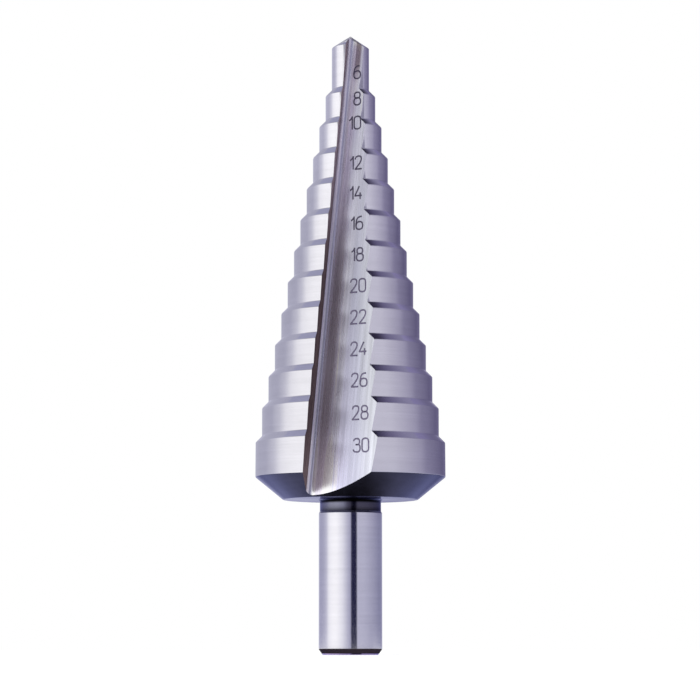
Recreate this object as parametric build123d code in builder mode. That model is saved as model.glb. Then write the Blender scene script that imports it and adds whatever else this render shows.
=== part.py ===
from build123d import *
from math import cos, radians, sin, tan
import os

# Step drill, 6 to 30 mm in steps of 2 mm, with a plain round shank. It is one piece of ground
# high-speed steel. It stands on the end of its shank: the origin is the centre of that end,
# +Z runs along the axis to the drill point, and the flute with the size figures faces -Y.
# All lengths are in millimetres and all angles in degrees.

os.makedirs("parts", exist_ok=True)

# Shank, the round end that a chuck grips
shank_diameter = 10.0
shank_length = 22.5
shank_end_chamfer = 0.65
shank_end_chamfer_height = 0.9
shank_top_chamfer_height = 0.3

# Neck, the short turned relief between the shank and the cutting body
neck_diameter = 9.65
neck_length = 1.85
neck_fillet = 0.4

# Back of the cutting body, a flat ring and a long chamfer
back_face_diameter = 21.3
back_chamfer_height = 3.55

# Steps, a cylinder and a sloping shoulder each, from the smallest at the point
smallest_diameter = 6.0
diameter_step = 2.0
step_count = 13
step_pitch = 5.0
shoulder_angle = 45.0
largest_step_length = 5.65
largest_shoulder_extra = 0.4
smallest_step_length = 7.85
point_angle = 118.0

# Flutes, straight V grooves that deepen from the point to the back. The azimuths are turned
# from -Y towards -X, as the flute with the size figures is seen from the front.
flute_count = 2
flute_slope = 8.14
flute_included_angle = 67.2
flute_root_radius = 0.75
flute_root_offset_at_point = 0.4
flute_root_azimuth = 37.8
cutting_face_azimuth = 10.6
cutter_overrun = 3.0

# Heights above the shank end
back_face_z = shank_length + neck_length
largest_step_z = back_face_z + back_chamfer_height
shoulder_height = diameter_step / 2 / tan(radians(shoulder_angle))
point_height = smallest_diameter / 2 / tan(radians(point_angle / 2))

# Diameters from the largest step to the smallest, and the upper edge of each of the larger
# ones, where its shoulder begins
diameters = [smallest_diameter + diameter_step * i for i in reversed(range(step_count))]
largest_diameter = diameters[0]
first_edge_z = largest_step_z + largest_step_length
second_edge_z = first_edge_z + step_pitch + largest_shoulder_extra
edge_heights = [first_edge_z] + [second_edge_z + step_pitch * i for i in range(step_count - 2)]
smallest_edge_z = edge_heights[-1] + smallest_step_length
tip_z = smallest_edge_z + point_height

# Outline of the turned blank in pairs of radius and height, from the shank end to the point
shank_radius = shank_diameter / 2
neck_radius = neck_diameter / 2
shank_outline = [
    (0, 0),
    (shank_radius - shank_end_chamfer, 0),
    (shank_radius, shank_end_chamfer_height),
    (shank_radius, shank_length - shank_top_chamfer_height),
    (neck_radius, shank_length),
    (neck_radius, back_face_z),
]
step_outline = [
    (back_face_diameter / 2, back_face_z),
    (largest_diameter / 2, largest_step_z),
]
for diameter, edge_z in zip(diameters, edge_heights):
    step_outline.append((diameter / 2, edge_z))
    step_outline.append(((diameter - diameter_step) / 2, edge_z + shoulder_height))
point_outline = [
    (smallest_diameter / 2, smallest_edge_z),
    (0, tip_z),
]

# Flute section in a level plane above the point. From its root the cutting face runs out on
# the left of the size figures and the back wall on their right.
def outwards(azimuth):
    return Vector(-sin(radians(azimuth)), -cos(radians(azimuth)))


section_z = tip_z + cutter_overrun
root_drift = tan(radians(flute_slope))
root_outwards = outwards(flute_root_azimuth)
root_point = root_outwards * (flute_root_offset_at_point - cutter_overrun * root_drift)
face_end = root_point + outwards(cutting_face_azimuth) * largest_diameter
wall_end = root_point + outwards(cutting_face_azimuth - flute_included_angle) * largest_diameter
cutter_direction = root_outwards * root_drift - Vector(0, 0, 1)
cutter_length = (section_z - back_face_z + cutter_overrun) * cutter_direction.length

with BuildPart() as flute_cutter:
    with BuildSketch(Plane.XY.offset(section_z)):
        with BuildLine():
            FilletPolyline(face_end, root_point, wall_end, radius=flute_root_radius)
            Line(wall_end, face_end)
        make_face()
    extrude(amount=cutter_length, dir=cutter_direction)

with BuildPart() as step_drill:
    # The blank is turned: shank, neck, back chamfer, steps with their shoulders, and point
    with BuildSketch(Plane.XZ) as blank_section:
        with BuildLine():
            Polyline(*shank_outline, *step_outline, *point_outline, close=True)
        make_face()
        neck_corner = blank_section.vertices().sort_by_distance((neck_radius, back_face_z))[0]
        fillet(neck_corner, radius=neck_fillet)
    revolve(axis=Axis.Z)

    # The flutes are ground along the steps and run out in the back chamfer
    with PolarLocations(0, flute_count):
        add(flute_cutter.part, mode=Mode.SUBTRACT)

step_drill.part.label = "step_drill"
export_step(step_drill.part, "parts/step_drill.step")

print("overall length", round(tip_z, 2), "mm, volume", round(step_drill.part.volume, 1), "mm3")
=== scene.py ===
from math import atan2, cos, degrees, hypot, pi, radians, sin, tan

import bmesh
import bpy
from mathutils import Matrix, Vector


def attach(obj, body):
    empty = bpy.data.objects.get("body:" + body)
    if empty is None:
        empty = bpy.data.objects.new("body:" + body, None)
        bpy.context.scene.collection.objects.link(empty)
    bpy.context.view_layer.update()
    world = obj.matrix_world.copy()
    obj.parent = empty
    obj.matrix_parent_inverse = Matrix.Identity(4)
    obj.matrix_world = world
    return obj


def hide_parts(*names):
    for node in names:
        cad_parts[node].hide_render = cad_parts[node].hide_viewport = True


# Step drill, 6 to 30 mm in steps of 2 mm, standing on the end of its shank. Shapes are made in
# millimetres and brought to metres as they are finished. The origin is the centre of the shank
# end, +Z runs along the axis to the point, and the flute with the size figures faces -Y.
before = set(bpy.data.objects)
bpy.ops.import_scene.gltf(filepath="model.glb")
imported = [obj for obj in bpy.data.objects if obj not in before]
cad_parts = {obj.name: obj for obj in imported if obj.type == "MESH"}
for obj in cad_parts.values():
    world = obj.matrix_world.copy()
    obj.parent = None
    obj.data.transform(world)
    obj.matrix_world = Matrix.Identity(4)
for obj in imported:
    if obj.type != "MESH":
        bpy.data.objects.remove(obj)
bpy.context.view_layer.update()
metres_per_mm = 0.001

# Drill blank. One bar of high-speed steel, turned to its steps and then ground all round on the
# lands and the shank. Neck, back chamfer and the chamfer of the shank end keep the dark skin of
# the hardening bath.
shank_diameter = 10.0
shank_length = 22.5
shank_end_chamfer = 0.65
shank_end_chamfer_height = 0.9
shank_top_chamfer_height = 0.3
neck_diameter = 9.65
neck_length = 1.85
neck_fillet = 0.4
back_face_diameter = 21.3
back_chamfer_height = 3.55
smallest_diameter = 6.0
diameter_step = 2.0
step_count = 13
step_pitch = 5.0
largest_step_length = 5.65
largest_shoulder_extra = 0.4
smallest_step_length = 7.85
point_angle = 118.0
corner_rounding = 0.1
turned_facets = 192
neck_fillet_facets = 6
corner_facets = 2
merge_distance = 0.0001

back_face_z = shank_length + neck_length
largest_step_z = back_face_z + back_chamfer_height
shoulder_height = diameter_step / 2
diameters = [smallest_diameter + diameter_step * i for i in reversed(range(step_count))]
edge_heights = [largest_step_z + largest_step_length]
edge_heights.append(edge_heights[0] + step_pitch + largest_shoulder_extra)
while len(edge_heights) < step_count - 1:
    edge_heights.append(edge_heights[-1] + step_pitch)
edge_heights.append(edge_heights[-1] + smallest_step_length)
tip_z = edge_heights[-1] + smallest_diameter / 2 / tan(radians(point_angle / 2))

shank_radius = shank_diameter / 2
neck_radius = neck_diameter / 2
outline = [
    (0, 0),
    (shank_radius - shank_end_chamfer, 0),
    (shank_radius, shank_end_chamfer_height),
    (shank_radius, shank_length - shank_top_chamfer_height),
    (neck_radius, shank_length),
    (neck_radius, back_face_z),
    (back_face_diameter / 2, back_face_z),
    (diameters[0] / 2, largest_step_z),
]
for diameter, smaller, edge_z in zip(diameters, diameters[1:], edge_heights):
    outline += [(diameter / 2, edge_z), (smaller / 2, edge_z + shoulder_height)]
outline += [(diameters[-1] / 2, edge_heights[-1]), (0, tip_z)]

blank = bmesh.new()
corners = [blank.verts.new((radius, 0, height)) for radius, height in outline]
for lower, upper in zip(corners, corners[1:]):
    blank.edges.new((lower, upper))
neck_corner = corners[outline.index((neck_radius, back_face_z))]
other_corners = [corner for corner in corners[1:-1] if corner is not neck_corner]
for rounded, rounding, facets in (([neck_corner], neck_fillet, neck_fillet_facets),
                                  (other_corners, corner_rounding, corner_facets)):
    bmesh.ops.bevel(blank, geom=rounded, offset=rounding, offset_type="OFFSET",
                    segments=facets, profile=0.5, affect="VERTICES", material=-1)
bmesh.ops.spin(blank, geom=blank.verts[:] + blank.edges[:], axis=(0, 0, 1), cent=(0, 0, 0),
               steps=turned_facets, angle=2 * pi, use_merge=True)
bmesh.ops.remove_doubles(blank, verts=blank.verts, dist=merge_distance)
bmesh.ops.recalc_face_normals(blank, faces=blank.faces)

# Behind each cutting edge the lands fall back from the work, by so much for each radian. The
# azimuths are turned from -Y towards -X.
relief_downwards = 0.2
relief_inwards = 0.03
cutting_edge_azimuth = 26.0
relief_to_azimuth = 76.0
flute_gap_azimuth = 4.0
relief_from_z = largest_step_z + 1.0
relief_to_z = edge_heights[-1] + 0.2
for vert in blank.verts:
    azimuth = degrees(atan2(-vert.co.x, -vert.co.y))
    behind = (azimuth - flute_gap_azimuth) % 180 + flute_gap_azimuth - cutting_edge_azimuth
    fallen = radians(min(behind, relief_to_azimuth))
    if relief_from_z < vert.co.z < relief_to_z:
        vert.co.z -= relief_downwards * fallen
        vert.co.xy *= 1 - relief_inwards * max(fallen, 0) / hypot(*vert.co.xy)

# Which finish each turned face has
GROUND, FLUTE, HARDENED, SHOULDER = range(4)
least_shoulder_normal_z = 0.6
most_shoulder_normal_z = 0.8
for face in blank.faces:
    height = face.calc_center_median().z
    unground = height < shank_end_chamfer_height or shank_length < height < largest_step_z
    sloping = (largest_step_z < height < edge_heights[-1]
               and least_shoulder_normal_z < face.normal.z < most_shoulder_normal_z)
    face.material_index = HARDENED if unground else SHOULDER if sloping else GROUND


def new_object(name, bm):
    mesh = bpy.data.meshes.new(name)
    bm.to_mesh(mesh)
    bm.free()
    made = bpy.data.objects.new(name, mesh)
    bpy.context.scene.collection.objects.link(made)
    return made


drill = new_object("drill", blank)


class Value:
    """A number that a node gives. A sum written with it adds the Math nodes that work it out."""

    def __init__(self, finish, socket):
        self.finish = finish
        self.socket = socket

    def maths(self, operation, *terms):
        inputs = dict(enumerate(terms))
        return self.finish.node("ShaderNodeMath", {"operation": operation}, inputs)

    def __add__(self, other):
        return self.maths("ADD", self, other)

    def __radd__(self, other):
        return self.maths("ADD", other, self)

    def __sub__(self, other):
        return self.maths("SUBTRACT", self, other)

    def __rsub__(self, other):
        return self.maths("SUBTRACT", other, self)

    def __mul__(self, other):
        return self.maths("MULTIPLY", self, other)

    def __rmul__(self, other):
        return self.maths("MULTIPLY", other, self)

    def __truediv__(self, other):
        return self.maths("DIVIDE", self, other)

    def __rtruediv__(self, other):
        return self.maths("DIVIDE", other, self)

    def __abs__(self):
        return self.maths("ABSOLUTE", self)

    def larger(self, other):
        return self.maths("MAXIMUM", self, other)

    def smaller(self, other):
        return self.maths("MINIMUM", self, other)

    def clamped(self, low, high, to_low=0.0, to_high=1.0):
        """Goes smoothly from to_low to to_high as the number goes from low to high."""
        return self.finish.node("ShaderNodeMapRange", {"interpolation_type": "SMOOTHSTEP"},
                                {0: self, 1: low, 2: high, 3: to_low, 4: to_high})

    def swing(self, amount):
        """A noise that lies round a half, laid round nothing and made so much stronger."""
        return (self - 0.5) * amount


class Finish:
    """A material, or a world, and its nodes. Colours are given as red, green and blue."""

    def __init__(self, owner):
        self.owner = owner
        owner.use_nodes = True
        self.tree = owner.node_tree
        self.tree.nodes.clear()

    def node(self, kind, settings=None, inputs=None, output=0):
        made = self.tree.nodes.new(kind)
        for name, value in (settings or {}).items():
            if name == "stops":
                stops = made.color_ramp.elements
                stops.remove(stops[1])
                stops[0].position, stops[0].color = value[0]
                for position, colour in value[1:]:
                    stops.new(position).color = colour
            else:
                setattr(made, name, value)
        for key, value in (inputs or {}).items():
            socket = made.inputs[key]
            if isinstance(value, Value):
                self.tree.links.new(value.socket, socket)
            else:
                socket.default_value = (*value, 1) if socket.type == "RGBA" else value
        return Value(self, made.outputs[output]) if made.outputs else made

    def position(self):
        """Where a point is on the piece, in millimetres: across, in and up."""
        place = self.node("ShaderNodeTexCoord", output="Object")
        place = self.node("ShaderNodeMapping", inputs={
            "Vector": place, "Scale": (1 / metres_per_mm,) * 3})
        return [self.node("ShaderNodeSeparateXYZ", inputs={0: place}, output=i)
                for i in range(3)]

    def point(self, x, y, z):
        return self.node("ShaderNodeCombineXYZ", inputs={0: x, 1: y, 2: z})

    def from_axis(self, x, y):
        return self.node("ShaderNodeVectorMath", {"operation": "LENGTH"},
                         {0: self.point(x, y, 0.0)}, output=1)

    def noise(self, place, cells_per_mm, detail=2.0, roughness=0.5):
        scaled_place = [along * cells for along, cells in zip(place, cells_per_mm)]
        return self.node("ShaderNodeTexNoise", inputs={
            "Vector": self.point(*scaled_place), "Scale": 1.0, "Detail": detail,
            "Roughness": roughness})

    def blend(self, amount, first, second):
        return self.node("ShaderNodeMix", {"data_type": "RGBA"},
                         {"Factor": amount, 6: first, 7: second}, output=2)

    def scaled(self, colour, amount):
        return self.node("ShaderNodeVectorMath", {"operation": "SCALE"},
                         {0: colour, "Scale": amount})

    def ramp(self, value, low, high, stops):
        """The colour at a value, from stops that are pairs of a value and a colour."""
        span = high - low
        placed_stops = [((at - low) / span, (*colour, 1)) for at, colour in stops]
        return self.node("ShaderNodeValToRGB", {"stops": placed_stops},
                         {0: (value - low) / span})

    def steel(self, colour, roughness, lines, depth, anisotropic, rotation, tint=(1, 1, 1)):
        """Bare steel. The lines stand in it to a depth in millimetres."""
        normal = self.node("ShaderNodeBump", inputs={
            "Strength": 1.0, "Distance": depth * metres_per_mm, "Height": lines})
        shader = self.node("ShaderNodeBsdfPrincipled", inputs={
            "Base Color": colour, "Metallic": 1.0, "Roughness": roughness, "Normal": normal,
            "Anisotropic": anisotropic, "Anisotropic Rotation": rotation,
            "Specular Tint": tint})
        self.node("ShaderNodeOutputMaterial", inputs={"Surface": shader})
        return self.owner


# Ground steel: fine lines run round the axis, and the lands and the shank have faint bands too
ground_tone = (0.655, 0.645, 0.69)
ground_roughness = 0.14
ground_line_depth = 0.0008
ground_anisotropy = 0.5
lines_round_axis = 0.25


def ground_lines(finish, place):
    """The fine lines of ground steel, and the shade and roughness that lines and clouds give."""
    lines = finish.noise(place, (0.12, 0.12, 7.0), detail=3.0, roughness=0.65)
    clouds = finish.noise(place, (0.35, 0.35, 0.35), detail=3.0)
    shade = 1.0 + lines.swing(0.13) + clouds.swing(0.1)
    return lines, shade, ground_roughness + lines.swing(0.07) + clouds.swing(0.05)


ground = Finish(bpy.data.materials.new("ground_steel_lands"))
place = ground.position()
lines, shade, roughness = ground_lines(ground, place)
bands = ground.noise(place, (0.05, 0.05, 1.3), detail=1.0)
ground_colour = ground.scaled(ground_tone, shade + bands.swing(0.12))
ground_steel = ground.steel(ground_colour, roughness, lines, ground_line_depth,
                            ground_anisotropy, lines_round_axis)

# Dark skin left by the hardening bath, blue-black on the back chamfer, greyer in the neck and
# a paler violet on the chamfer of the shank end. On the neck the left side has painted light and
# the right side painted shade, and the neck gets darker towards its foot
skin_tone = (0.035, 0.035, 0.058)
skin_mirror_tint = (0.7, 0.72, 1.0)
skin_roughness = 0.22
skin_line_depth = 0.003
shank_end_tone = (0.5, 0.4, 0.66)
neck_left_painted_light_tone = (0.2, 0.2, 0.265)
neck_right_painted_shade_tone = (0.09, 0.085, 0.115)
neck_corner_painted_shade_tone = (0.002, 0.002, 0.002)
neck_foot_shade = 0.35
# Each pair is where a change begins and where it is complete
shank_end_z = (2, 1)
neck_side_x = (-1.3, -0.1)
neck_foot_z = (shank_length - 0.05, shank_length + 0.8)
neck_from_z = (shank_length - 2.5, shank_length - 1.5)
neck_to_z = (back_face_z + 0.05, back_face_z - 0.15)
neck_corner_z = (back_face_z - 0.75, back_face_z - 0.35)
neck_corner_radius = (5.6, 5.3)

hardened = Finish(bpy.data.materials.new("hardened_skin"))
place = x, y, z = hardened.position()
turned_lines = hardened.noise(place, (0.2, 0.2, 4.0))
stains = hardened.noise(place, (0.6, 0.6, 0.6), detail=4.0, roughness=0.6)
shade = 1.0 + turned_lines.swing(0.3) + stains.swing(0.5)
# Painted light on the left side of the neck and painted shade on its right side
neck_colour = hardened.blend(x.clamped(*neck_side_x), neck_left_painted_light_tone, neck_right_painted_shade_tone)
from_axis = hardened.from_axis(x, y)
# Painted shade: the corner where the neck meets the back face is painted near black
in_painted_shade_corner = z.clamped(*neck_corner_z) * from_axis.clamped(*neck_corner_radius)
neck_colour = hardened.blend(in_painted_shade_corner, neck_colour, neck_corner_painted_shade_tone)
neck_colour = hardened.scaled(neck_colour, z.clamped(*neck_foot_z, neck_foot_shade, 1.0))
in_neck = z.clamped(*neck_to_z) * z.clamped(*neck_from_z)
skin_colour = hardened.blend(z.clamped(*shank_end_z), skin_tone, shank_end_tone)
skin_colour = hardened.scaled(hardened.blend(in_neck, skin_colour, neck_colour), shade)
hardened_skin = hardened.steel(skin_colour, skin_roughness + stains.swing(0.14), turned_lines,
                               skin_line_depth, ground_anisotropy, lines_round_axis,
                               tint=skin_mirror_tint)

# Flutes. Two straight V grooves with a round root, ground along the steps with a shaped wheel.
# They deepen from the point to the back and run out in the back chamfer. The azimuths are
# turned from -Y towards -X.
flute_slope = 8.3
flute_included_angle = 67.2
flute_root_radius = 0.75
flute_root_facets = 12
flute_root_tolerance = 0.01
flute_root_offset_at_point = 0.2
flute_root_azimuth = 37.8
cutting_face_azimuth = 10.6
cutter_overrun = 3.0


def outwards(azimuth):
    return Vector((-sin(radians(azimuth)), -cos(radians(azimuth)), 0))


root_drift = tan(radians(flute_slope))
root_outwards = outwards(flute_root_azimuth)
face_direction = outwards(cutting_face_azimuth)
wall_direction = outwards(cutting_face_azimuth - flute_included_angle)
flute_downwards = root_outwards * root_drift - Vector((0, 0, 1))

half_angle = radians(flute_included_angle / 2)
root_point = root_outwards * (flute_root_offset_at_point - cutter_overrun * root_drift)
root_point.z = tip_z + cutter_overrun
middle_direction = (face_direction + wall_direction).normalized()
root_centre = root_point + middle_direction * flute_root_radius / sin(half_angle)
face_foot = root_point + face_direction * flute_root_radius / tan(half_angle)
wall_foot = root_point + wall_direction * flute_root_radius / tan(half_angle)
cutter_length = root_point.z - back_face_z + cutter_overrun

cutters = []
for turn in (0, pi):
    cutter = bmesh.new()
    first = cutter.verts.new(face_foot)
    bmesh.ops.spin(cutter, geom=[first], axis=(0, 0, 1), cent=root_centre,
                   steps=flute_root_facets, angle=radians(flute_included_angle - 180))
    ends = [vert for vert in cutter.verts if len(vert.link_edges) == 1]
    last = max(ends, key=lambda vert: (vert.co - first.co).length)
    if (last.co - wall_foot).length > flute_root_tolerance:
        raise ValueError("the root of the flute turns the wrong way")
    face_end = cutter.verts.new(root_point + face_direction * diameters[0])
    wall_end = cutter.verts.new(root_point + wall_direction * diameters[0])
    for edge in ((first, face_end), (last, wall_end), (face_end, wall_end)):
        cutter.edges.new(edge)
    section = bmesh.ops.contextual_create(cutter, geom=cutter.edges[:])["faces"]
    swept = bmesh.ops.extrude_face_region(cutter, geom=section)["geom"]
    bmesh.ops.translate(cutter, vec=flute_downwards * cutter_length,
                        verts=[part for part in swept if isinstance(part, bmesh.types.BMVert)])
    bmesh.ops.rotate(cutter, cent=(0, 0, 0), matrix=Matrix.Rotation(turn, 3, "Z"),
                     verts=cutter.verts)
    bmesh.ops.recalc_face_normals(cutter, faces=cutter.faces)
    for face in cutter.faces:
        face.material_index = FLUTE
    cutters.append(new_object("flute_cutter", cutter))

face_normal = Vector((-face_direction.y, face_direction.x))
wall_normal = Vector((wall_direction.y, -wall_direction.x))


def beside_flute(finish, x, y, z):
    """How far a point is across from the root of its flute, and off its face and its wall."""
    side = x.maths("SIGN", x * root_outwards.x + y * root_outwards.y)
    root_offset = flute_root_offset_at_point + (tip_z - z) * root_drift
    x = x * side - root_offset * root_outwards.x
    y = y * side - root_offset * root_outwards.y
    return x, x * face_normal.x + y * face_normal.y, x * wall_normal.x + y * wall_normal.y


# Ground steel of the shoulders, with painted shade in the corner beside the flute's wall,
# longer and paler on the large steps than on the small ones
painted_shade_tone = (0.25, 0.225, 0.33)
painted_shade_width_large_steps = 6.0
painted_shade_width_small_steps = 1.9
painted_shade_tone_small_steps = 0.2
painted_shade_width_z = (68, 76)
painted_shade_tone_z = (64, 80)
painted_shade_edge = (1.0, 0.5)

shoulders = Finish(bpy.data.materials.new("ground_steel_shoulders"))
place = x, y, z = shoulders.position()
lines, shade, roughness = ground_lines(shoulders, place)
off_wall = beside_flute(shoulders, x, y, z)[2]
# Painted shade in the corner of each shoulder beside the flute's wall
painted_shade_width = z.clamped(*painted_shade_width_z, painted_shade_width_large_steps, painted_shade_width_small_steps)
painted_shade_colour = shoulders.scaled(
    painted_shade_tone, z.clamped(*painted_shade_tone_z, 1.0, painted_shade_tone_small_steps))
painted_shade = (off_wall / painted_shade_width).clamped(-1.0, 0.1) * off_wall.clamped(*painted_shade_edge)
shoulder_colour = shoulders.scaled(shoulders.blend(painted_shade, ground_tone, painted_shade_colour), shade)
shoulder_steel = shoulders.steel(shoulder_colour, roughness, lines, ground_line_depth,
                                 ground_anisotropy, lines_round_axis)

# Flute steel: the wheel ran along the groove, so its streaks do too, and the root is browner.
# The stripes beside the root, its browner cast among them, are painted light and shade: bright
# lines and dark bands that stand in for the reflections in the groove. They are given by how far
# they are across from it, in millimetres, how light they are, and their cast.
brown_cast = (1.0, 0.86, 0.82)
warm_cast = (1.0, 0.94, 0.98)
plain_cast = (1.0, 1.0, 1.06)
lilac_cast = (1.0, 0.95, 1.07)
blue_cast = (1.0, 0.99, 1.16)
root_strip_from = -0.5
root_strip_to = 4.0
low_root_painted_stripes = [
    (-0.18, 0.27, brown_cast), (-0.09, 0.96, plain_cast), (0.07, 0.83, plain_cast),
    (0.25, 0.31, blue_cast), (0.4, 0.36, blue_cast), (0.7, 0.89, blue_cast),
    (0.9, 0.87, blue_cast), (1.17, 0.67, lilac_cast), (1.5, 0.58, lilac_cast),
    (2.2, 0.63, lilac_cast), (2.65, 0.86, blue_cast), (3.0, 0.88, blue_cast),
    (3.4, 0.66, blue_cast),
]
high_root_painted_stripes = [
    (-0.3, 0.82, warm_cast), (-0.09, 0.55, warm_cast), (0.09, 1.0, warm_cast),
    (0.27, 1.0, warm_cast), (0.43, 0.75, blue_cast), (0.56, 0.63, blue_cast),
    (0.77, 0.92, plain_cast), (1.12, 1.0, warm_cast), (1.35, 0.91, lilac_cast),
    (1.55, 0.78, lilac_cast), (1.8, 0.76, lilac_cast), (2.2, 0.8, blue_cast),
]
# Painted light and shade in bands further out on the wall, by the share of its width
low_wall_painted_stripes = [
    (0.3, (0.60, 0.58, 0.73)),
    (0.52, (0.50, 0.49, 0.62)),
    (0.7, (0.54, 0.54, 0.66)),
    (0.95, (0.68, 0.69, 0.76)),
]
high_wall_tone = (0.76, 0.75, 0.92)
wall_width_at_end = 15.1
wall_narrowing = 0.133
wall_from = (3.6, 4.4)
high_root_z = (58, 84)
high_wall_z = (50, 88)
# A scorched patch under the point, a dark rim along its edge, and painted light brightening the
# run-out at the back
scorched_tone = (0.4, 0.34, 0.37)
scorched_z = (90.5, 94)
scorched_from = (1.1, 1.4)
scorched_to = (2.3, 1.9)
rim_darkening = 0.72
rim_depth = (0.42, 0.22)
rim_from = (0.2, 0.7)
run_out_painted_light = (0.15, 0.5)
run_out_z = (37, 27)
run_out_across = (7, 4)
flute_roughness = 0.28
flute_line_depth = 0.006
flute_anisotropy = 0.6
lines_along_flute = 0.0
flute_mirror_tint = (0.6, 0.48, 0.43)

flute = Finish(bpy.data.materials.new("ground_steel_flutes"))
x, y, z = flute.position()
from_root, off_face, off_wall = beside_flute(flute, x, y, z)
in_flute = (off_face, off_wall, z)
fine = flute.noise(in_flute, (5.0, 5.0, 0.12), detail=3.0, roughness=0.6)
streaks = flute.noise(in_flute, (1.8, 1.8, 0.04), roughness=0.6)
broad = flute.noise(in_flute, (0.7, 0.7, 0.06))
shade = 1.0 + fine.swing(0.4) + streaks.swing(0.7) + broad.swing(0.3)
# Painted light: the flute gets lighter towards the back, where it runs out
painted_run_out_light = z.clamped(*run_out_z) * from_root.clamped(*run_out_across, *run_out_painted_light)
shade = shade * (1.0 + painted_run_out_light)
# Painted light and shade in stripes beside the root of each flute
low_root_painted, high_root_painted = [
    flute.ramp(from_root, root_strip_from, root_strip_to, [
        (across, tuple(min(light * part, 1.0) for part in cast))
        for across, light, cast in stripes])
    for stripes in (low_root_painted_stripes, high_root_painted_stripes)]
near_root_painted = flute.blend(z.clamped(*high_root_z), low_root_painted, high_root_painted)
scorched = (z.clamped(*scorched_z) * from_root.clamped(*scorched_from)
            * from_root.clamped(*scorched_to))
near_root_painted = flute.blend(scorched, near_root_painted, scorched_tone)
along_wall = off_face / (wall_width_at_end - z * wall_narrowing)
# Painted light and shade in bands across the lower flute wall
low_wall_painted = flute.ramp(along_wall, 0.0, 1.0, low_wall_painted_stripes)
far_wall = flute.blend(z.clamped(*high_wall_z), low_wall_painted, high_wall_tone)
flute_colour = flute.blend(from_root.clamped(*wall_from), near_root_painted, far_wall)
under_point = tip_z - z - flute.from_axis(x, y) / tan(radians(point_angle / 2))
rim = under_point.clamped(*rim_depth) * from_root.clamped(*rim_from)
flute_colour = flute.scaled(flute_colour, shade * (1.0 - rim * rim_darkening))
flute_steel = flute.steel(flute_colour, flute_roughness + fine.swing(0.14), fine,
                          flute_line_depth, flute_anisotropy, lines_along_flute,
                          tint=flute_mirror_tint)

# The flutes are cut out of the blank, and what is left is the drill
sharp_edge_angle = 28.0
drill_materials = (ground_steel, flute_steel, hardened_skin, shoulder_steel)
for piece in [drill] + cutters:
    for material in drill_materials:
        piece.data.materials.append(material)
for cutter in cutters:
    cut = drill.modifiers.new(cutter.name, "BOOLEAN")
    cut.operation = "DIFFERENCE"
    cut.solver = "EXACT"
    cut.object = cutter
bpy.context.view_layer.update()
cut_mesh = bpy.data.meshes.new_from_object(
    drill.evaluated_get(bpy.context.evaluated_depsgraph_get()))
for used in cutters + [drill]:
    mesh = used.data
    bpy.data.objects.remove(used)
    bpy.data.meshes.remove(mesh)

finished = bmesh.new()
finished.from_mesh(cut_mesh)
bmesh.ops.scale(finished, vec=(metres_per_mm,) * 3, verts=finished.verts)
step_drill = new_object("ground_step_drill", finished)
for material in drill_materials:
    step_drill.data.materials.append(material)
bpy.data.meshes.remove(cut_mesh)
step_drill.data.shade_smooth()
step_drill.data.set_sharp_from_angle(angle=radians(sharp_edge_angle))
even = step_drill.modifiers.new("even shading", "WEIGHTED_NORMAL")
even.keep_sharp = True
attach(step_drill, "root")
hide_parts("step_drill")

# Size figures. The diameter of each step stands beside it on the wall of the front flute, marked
# in dark single strokes by a laser. Each has its place along the wall, from the root of the
# flute, and its height, both to its middle.
figure_height = 2.1
figure_stroke = 0.26
figure_raised = 0.02
figure_gap = 0.36
figure_widening = 1.1
figure_width = 0.54
figure_1_width = 0.25
figure_merge_distance = 0.0005
figure_places = {
    6: (2.09, 92.4), 8: (2.58, 88.0), 10: (2.58, 84.0), 12: (3.46, 77.38), 14: (3.95, 72.45),
    16: (4.68, 67.5), 18: (5.32, 62.4), 20: (5.99, 57.4), 22: (6.56, 52.35), 24: (7.12, 47.3),
    26: (7.79, 42.35), 28: (8.51, 37.2), 30: (9.22, 32.1),
}
# Strokes of each figure: closed or open, and the points that its line follows, in its height
figure_strokes = {
    "0": [(True, [(0, 0.5), (0, 1), (0.52, 1), (0.52, 0.5), (0.52, 0), (0, 0)])],
    "1": [(False, [(0, 0.72), (0.15, 0.8), (0.25, 1), (0.25, 1), (0.25, 0)])],
    "2": [(False, [(0.02, 0.76), (0.03, 1), (0.5, 1.02), (0.52, 0.6), (0, 0), (0, 0),
                   (0.54, 0)])],
    "3": [(False, [(0.03, 0.82), (0.06, 1), (0.5, 1), (0.49, 0.55), (0.2, 0.55),
                   (0.2, 0.55), (0.54, 0.55), (0.54, 0), (0.03, 0), (0, 0.2)])],
    "4": [(False, [(0.36, 1), (0, 0.27), (0, 0.27), (0.56, 0.27)]),
          (False, [(0.42, 0.5), (0.42, 0)])],
    "6": [(False, [(0.47, 0.99), (0.14, 1.0), (0, 0.55), (0, 0), (0.54, 0), (0.54, 0.6),
                   (0.03, 0.6), (0, 0.3)])],
    "8": [(True, [(0.04, 0.54), (0.04, 1), (0.5, 1), (0.5, 0.54)]),
          (True, [(0, 0.56), (0, 0), (0.54, 0), (0.54, 0.56)])],
}


def figure_mesh(digit):
    drawn = bpy.data.curves.new("figure_line", "CURVE")
    drawn.dimensions = "3D"
    drawn.bevel_depth = figure_stroke / 2
    drawn.bevel_resolution = 1
    drawn.use_fill_caps = True
    drawn.resolution_u = 5
    for closed, points in figure_strokes[digit]:
        line = drawn.splines.new("NURBS")
        line.points.add(len(points) - 1)
        for point, (across, up) in zip(line.points, points):
            point.co = (across * figure_widening * figure_height, up * figure_height, 0, 1)
        line.use_cyclic_u = closed
        line.use_endpoint_u = not closed
        line.order_u = 3
    holder = bpy.data.objects.new("figure_line", drawn)
    mesh = bpy.data.meshes.new_from_object(holder)
    bpy.data.objects.remove(holder)
    bpy.data.curves.remove(drawn)
    return mesh


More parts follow.
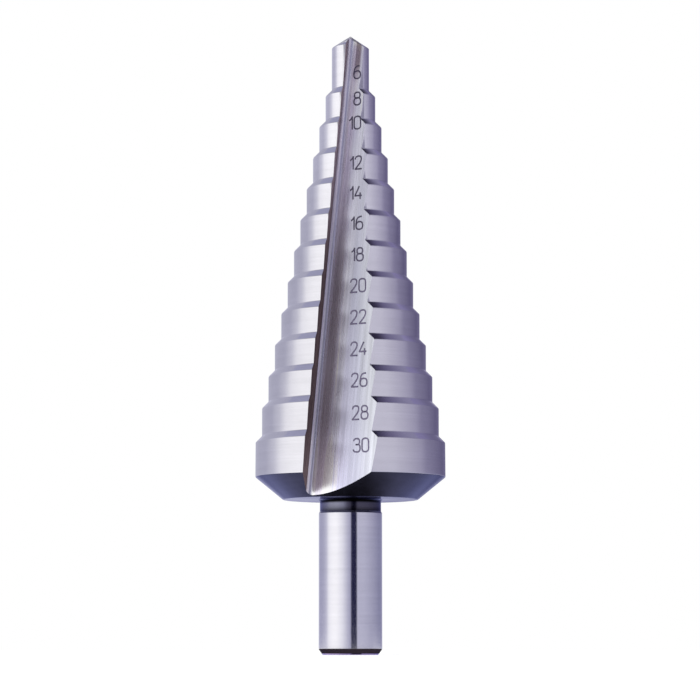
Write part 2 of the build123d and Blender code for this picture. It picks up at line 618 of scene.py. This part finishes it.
# Upright in the wall as it is seen from the front: across keeps level, up has no sideways part
figure_across = wall_direction
figure_upwards = -flute_downwards
figure_upwards -= figure_across * (figure_upwards.x / figure_across.x)
figure_upwards /= figure_upwards.z
figure_out = figure_across.cross(figure_upwards).normalized()
flattened = figure_out * (figure_raised / (figure_stroke / 2))

figures_bm = bmesh.new()
for size, (across_wall, middle_z) in figure_places.items():
    digits = str(size)
    widths = [(figure_1_width if digit == "1" else figure_width) * figure_widening
              for digit in digits]
    width = sum(widths) * figure_height + figure_gap * (len(digits) - 1)
    root_here = root_outwards * (flute_root_offset_at_point + (tip_z - middle_z) * root_drift)
    left = root_here + Vector((0, 0, middle_z)) + figure_across * (across_wall - width / 2)
    left -= figure_upwards * figure_height / 2
    for digit, digit_width in zip(digits, widths):
        mesh = figure_mesh(digit)
        on_wall = Matrix((figure_across, figure_upwards, flattened)).transposed().to_4x4()
        on_wall.translation = left
        mesh.transform(on_wall)
        figures_bm.from_mesh(mesh)
        bpy.data.meshes.remove(mesh)
        left += figure_across * (digit_width * figure_height + figure_gap)
bmesh.ops.remove_doubles(figures_bm, verts=figures_bm.verts, dist=figure_merge_distance)
bmesh.ops.recalc_face_normals(figures_bm, faces=figures_bm.faces)
bmesh.ops.scale(figures_bm, vec=(metres_per_mm,) * 3, verts=figures_bm.verts)
size_figures = new_object("size_figures", figures_bm)
size_figures.data.shade_smooth()

# Soot of the laser, worn paler on the large steps
soot_tone = (0.13, 0.115, 0.17)
soot_wear = 1.9
soot_wear_z = (68, 52)
soot_depth = 0.01
figures = Finish(bpy.data.materials.new("laser_marking"))
place = x, y, z = figures.position()
soot = figures.noise(place, (3.0, 3.0, 3.0), detail=3.0)
worn = z.clamped(*soot_wear_z, 1.0, soot_wear)
figure_colour = figures.scaled(soot_tone, (1.0 + soot.swing(0.6)) * worn)
size_figures.data.materials.append(figures.steel(
    figure_colour, 0.5 + soot.swing(0.2), soot, soot_depth, anisotropic=0.0, rotation=0.0))
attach(size_figures, "root")

# Floor and studio. A pale floor, a soft lamp, and round the drill the pale and dark walls of a
# paper tent, which the ground steel shows as soft upright bands. The tent is seen only by
# reflections.
floor_size = 8.0
floor_tone = (0.86, 0.86, 0.87)
floor_lift = 0.2
white = (1.0, 1.0, 1.0)


def shown_rays(finish):
    """1 for a ray that shows a surface: from the camera, mirrored, or passed through glass."""
    seen, mirrored, through = [
        finish.node("ShaderNodeLightPath", output=ray)
        for ray in ("Is Camera Ray", "Is Glossy Ray", "Is Transmission Ray")]
    return seen.larger(mirrored.larger(through))


def glowing(finish, colour, strength):
    glow = finish.node("ShaderNodeEmission", inputs={"Color": colour, "Strength": strength})
    finish.node("ShaderNodeOutputMaterial", inputs={"Surface": glow})
    return finish.owner


floor_bm = bmesh.new()
bmesh.ops.create_grid(floor_bm, x_segments=1, y_segments=1, size=floor_size / 2)
floor = new_object("floor", floor_bm)
paper = Finish(bpy.data.materials.new("floor_paper"))
grain = paper.noise(paper.position(), (0.8, 0.8, 1.0))
paper_colour = paper.scaled(floor_tone, 1.0 + grain.swing(0.02))
matt = paper.node("ShaderNodeBsdfDiffuse", inputs={"Color": paper_colour})
lift = paper.node("ShaderNodeEmission", inputs={
    "Color": white, "Strength": shown_rays(paper) * floor_lift})
both = paper.node("ShaderNodeAddShader", inputs={0: matt, 1: lift})
paper.node("ShaderNodeOutputMaterial", inputs={"Surface": both})
floor.data.materials.append(paper.owner)

# The tent is a tall round wall in metres, and close to the drill a low ring and a disc on the
# floor, which the shank and the back chamfer show. How light its paper is goes by azimuth in
# degrees, from the camera's side, with + to its right.
tent_radius = 1.2
tent_height = 1.2
ring_radius = 0.12
ring_height = 0.055
tent_above_floor = 0.0005
disc_above_floor = 0.0001
tent_facets = 96
tent_peak = 1.4
slot_light = 0.01
high_lights = [
    (-180, 0.5), (-118, 0.55), (-100, 0.76), (-88, 1.13), (-72, 1.26), (-50, 1.28),
    (-12, 0.66), (1, 0.6), (2.5, slot_light), (21, slot_light), (23, 0.78), (50, 0.75),
    (90, 0.44), (100, 0.31), (140, 0.16), (165, 0.19), (180, 0.5),
]
low_lights = [
    (-180, 0.75), (-172, 0.85), (-160, 0.8), (-150, 0.48), (-130, 0.49), (-110, 0.57),
    (-94, 0.76), (-87, 1.1), (-77, 1.29), (-64, 1.38), (-50, 1.38), (-29, 1.11), (-7, 0.6),
    (1, 0.5), (3, slot_light * 2), (22, slot_light * 2), (24, 0.66), (48, 0.64), (122, 0.34),
    (150, 0.32), (160, 0.53), (172, 0.56), (180, 0.75),
]
# The paper's cast: the less light it has, the bluer it is, and high on the right more lilac
high_blue = (1.05, 0.76)
low_blue = (1.09, 0.72)
lilac_green = 1.06
# Where the ring's greys end, the bright table behind the drill, the shade over the front, the
# dimmer upper wall, its brighter right part, and a brighter belt, in millimetres and degrees
ring_top_z = (34, 27)
table_left_tone = (1.0, 1.0, 1.0)
table_right_tone = (0.88, 0.89, 0.95)
table_side_x = (-5, 5)
table_z = (0.3, 0.2)
table_azimuth = (70, 105)
table_from_axis = (90, 45)
front_shade_tone = (0.32, 0.31, 0.42)
front_left_azimuth = (-50, -30)
front_right_azimuth = (115, 85)
front_from_z = (340, 420)
front_to_z = (800, 650)
upper_dimming = 0.62
upper_z = (400, 600)
upper_y = (300, -200)
right_brightening = 0.8
right_z = (550, 1150)
right_azimuth = (100, 130)
belt_brightening = 0.2
belt_from_z = (255, 290)
belt_to_z = (400, 350)


def add_disc(bm, radius, height, facets):
    made = bmesh.ops.create_circle(bm, cap_ends=True, segments=facets, radius=radius)
    bmesh.ops.translate(bm, vec=(0, 0, height), verts=made["verts"])


def under_peak(grey):
    return tuple(part / tent_peak for part in grey)


def paper_grey(light, green_power, blue_gain, blue_power):
    return under_peak((light, light ** green_power, blue_gain * light ** blue_power))


tent_bm = bmesh.new()
for radius, height in ((tent_radius, tent_height), (ring_radius, ring_height)):
    made = bmesh.ops.create_cone(tent_bm, cap_ends=False, segments=tent_facets, radius1=radius,
                                 radius2=radius, depth=height)
    bmesh.ops.translate(tent_bm, vec=(0, 0, height / 2 + tent_above_floor),
                        verts=made["verts"])
add_disc(tent_bm, ring_radius, disc_above_floor, tent_facets)
tent = new_object("light_tent", tent_bm)
wall = Finish(bpy.data.materials.new("tent_wall"))
x, y, z = wall.position()
azimuth = x.maths("ARCTAN2", x, y * -1.0) * (180 / pi)
greys = wall.ramp(azimuth, -180, 180, [
    (angle, paper_grey(light, lilac_green if angle > 0 else 1.0, *high_blue))
    for angle, light in high_lights])
ring_greys = wall.ramp(azimuth, -180, 180, [
    (angle, paper_grey(light, 1.0, *low_blue)) for angle, light in low_lights])
greys = wall.blend(z.clamped(*ring_top_z), greys, ring_greys)
table_behind = (z.clamped(*table_z) * abs(azimuth).clamped(*table_azimuth)
                * wall.from_axis(x, y).clamped(*table_from_axis))
table_colour = wall.blend(x.clamped(*table_side_x), table_left_tone, table_right_tone)
greys = wall.blend(table_behind, greys, table_colour)
over_front = (azimuth.clamped(*front_left_azimuth) * azimuth.clamped(*front_right_azimuth)
              * z.clamped(*front_from_z))
front_shade = over_front * z.clamped(*front_to_z)
greys = wall.blend(front_shade, greys, under_peak(front_shade_tone))
upper = z.clamped(*upper_z, 0.0, upper_dimming) * y.clamped(*upper_y)
upper_right = z.clamped(*right_z) * azimuth.clamped(*right_azimuth)
belt = z.clamped(*belt_from_z) * z.clamped(*belt_to_z)
strength = 1.0 - upper * (1.0 - over_front)
strength = strength * (1.0 + upper_right * right_brightening)
strength = strength * (1.0 + belt * belt_brightening)
tent.data.materials.append(glowing(wall, greys, strength * tent_peak))

# The roof, with a dark slot over the right of the drill that its shoulders show
roof_right_tone = (0.33, 0.31, 0.47)
roof_left_tone = (0.45, 0.455, 0.62)
roof_side = (-300, 700)
slot_dark = 0.2
slot_slant = 0.35
slot_right = (200, 400)
slot_back_y = (20, 220)
slot_far_right_x = (700, 900)
slot_left_x = (-300, -100)
roof_bm = bmesh.new()
add_disc(roof_bm, tent_radius, tent_height, tent_facets)
roof = new_object("tent_roof", roof_bm)
cloth = Finish(bpy.data.materials.new("tent_roof"))
x, y, z = cloth.position()
roof_colour = cloth.blend((x * -1.0).clamped(*roof_side), roof_right_tone, roof_left_tone)
right_of_slot = (x - y * slot_slant).clamped(*slot_right, slot_dark, 1.0)
behind_slot = y.clamped(*slot_back_y, slot_dark, 1.0).larger(x.clamped(*slot_far_right_x))
left_of_slot = x.clamped(*slot_left_x, 1.0, 0.0)
roof_strength = right_of_slot.smaller(behind_slot).larger(left_of_slot)
roof.data.materials.append(glowing(cloth, roof_colour, roof_strength))

# A bright panel high up behind the drill, softer at its edges
panel_size = 0.22
panel_tilt = 52.0
panel_middle = (-0.03, 0.8, 0.68)
panel_from_middle = (210, 120)
panel_edge_strength = 0.4
panel_middle_strength = 1.4
rear_bm = bmesh.new()
bmesh.ops.create_grid(rear_bm, x_segments=1, y_segments=1, size=panel_size)
bmesh.ops.rotate(rear_bm, cent=(0, 0, 0), matrix=Matrix.Rotation(radians(panel_tilt), 3, "X"),
                 verts=rear_bm.verts)
bmesh.ops.translate(rear_bm, vec=panel_middle, verts=rear_bm.verts)
rear_panel = new_object("rear_panel", rear_bm)
panel = Finish(bpy.data.materials.new("rear_panel"))
from_middle = panel.node("ShaderNodeVectorMath", {"operation": "DISTANCE"}, {
    0: panel.point(*panel.position()),
    1: [along / metres_per_mm for along in panel_middle]}, output=1)
panel_strength = from_middle.clamped(
    *panel_from_middle, panel_edge_strength, panel_middle_strength)
rear_panel.data.materials.append(glowing(panel, white, panel_strength))

# Painted shadow: a soft dark patch of the table right under the drill, for the reflections in
# its dark skin
patch_radius = 0.023
patch_above_floor = 0.0002
patch_facets = 48
patch_middle_tone = (1.0, 0.91, 0.76)
patch_edge_tone = (0.95, 0.95, 1.0)
patch_tone_radius = (9, 15)
patch_shadow_radius = (7.5, 23)
patch_middle_strength = 0.05
patch_edge_strength = 1.35
under_bm = bmesh.new()
add_disc(under_bm, patch_radius, patch_above_floor, patch_facets)
painted_shadow_under_drill = new_object("painted_shadow_under_drill", under_bm)
patch = Finish(bpy.data.materials.new("painted_shadow_under_drill"))
x, y, z = patch.position()
from_axis = patch.from_axis(x, y)
patch_colour = patch.blend(
    from_axis.clamped(*patch_tone_radius), patch_middle_tone, patch_edge_tone)
# Painted shadow, darkest in the middle under the drill and lighter outwards
patch_strength = from_axis.clamped(
    *patch_shadow_radius, patch_middle_strength, patch_edge_strength)
painted_shadow_under_drill.data.materials.append(glowing(patch, patch_colour, patch_strength))

for screen in (tent, roof, rear_panel, painted_shadow_under_drill):
    screen.visible_camera = False
    screen.visible_diffuse = False
    screen.visible_transmission = False
    screen.visible_shadow = False

lamp_softness = 50.0
lamp_energy = 1.5
lamp_direction = Vector((-0.1, -0.3, 1.0))
lamp_data = bpy.data.lights.new("soft_lamp", "SUN")
lamp_data.angle = radians(lamp_softness)
lamp_data.energy = lamp_energy
soft_lamp = bpy.data.objects.new("soft_lamp", lamp_data)
soft_lamp.rotation_euler = lamp_direction.to_track_quat("Z", "Y").to_euler()
soft_lamp.visible_glossy = False
bpy.context.scene.collection.objects.link(soft_lamp)

studio_light = 0.6
bpy.context.scene.world = bpy.data.worlds.new("white_studio")
studio = Finish(bpy.context.scene.world)
studio_strength = studio_light + shown_rays(studio) * (1.0 - studio_light)
studio.node("ShaderNodeOutputWorld", inputs={"Surface": studio.node(
    "ShaderNodeBackground", inputs={"Color": white, "Strength": studio_strength})})

# Camera. Just above the floor in front of the drill, looking up at it a little through a long
# lens, as in the photograph.
camera_aside = -0.00007
camera_distance = 0.46724
camera_height = 0.0008
camera_pitch = 5.781
camera_data = bpy.data.cameras.new("camera")
camera_data.lens = 152.324
camera_data.sensor_width = 36.0
camera_data.clip_start = 0.01
camera_data.clip_end = 20.0
camera = bpy.data.objects.new("camera", camera_data)
camera.location = (camera_aside, -camera_distance, camera_height)
camera.rotation_euler = (radians(90 + camera_pitch), 0, 0)
bpy.context.scene.collection.objects.link(camera)
bpy.context.scene.camera = camera
bpy.context.scene.view_settings.view_transform = "Standard"
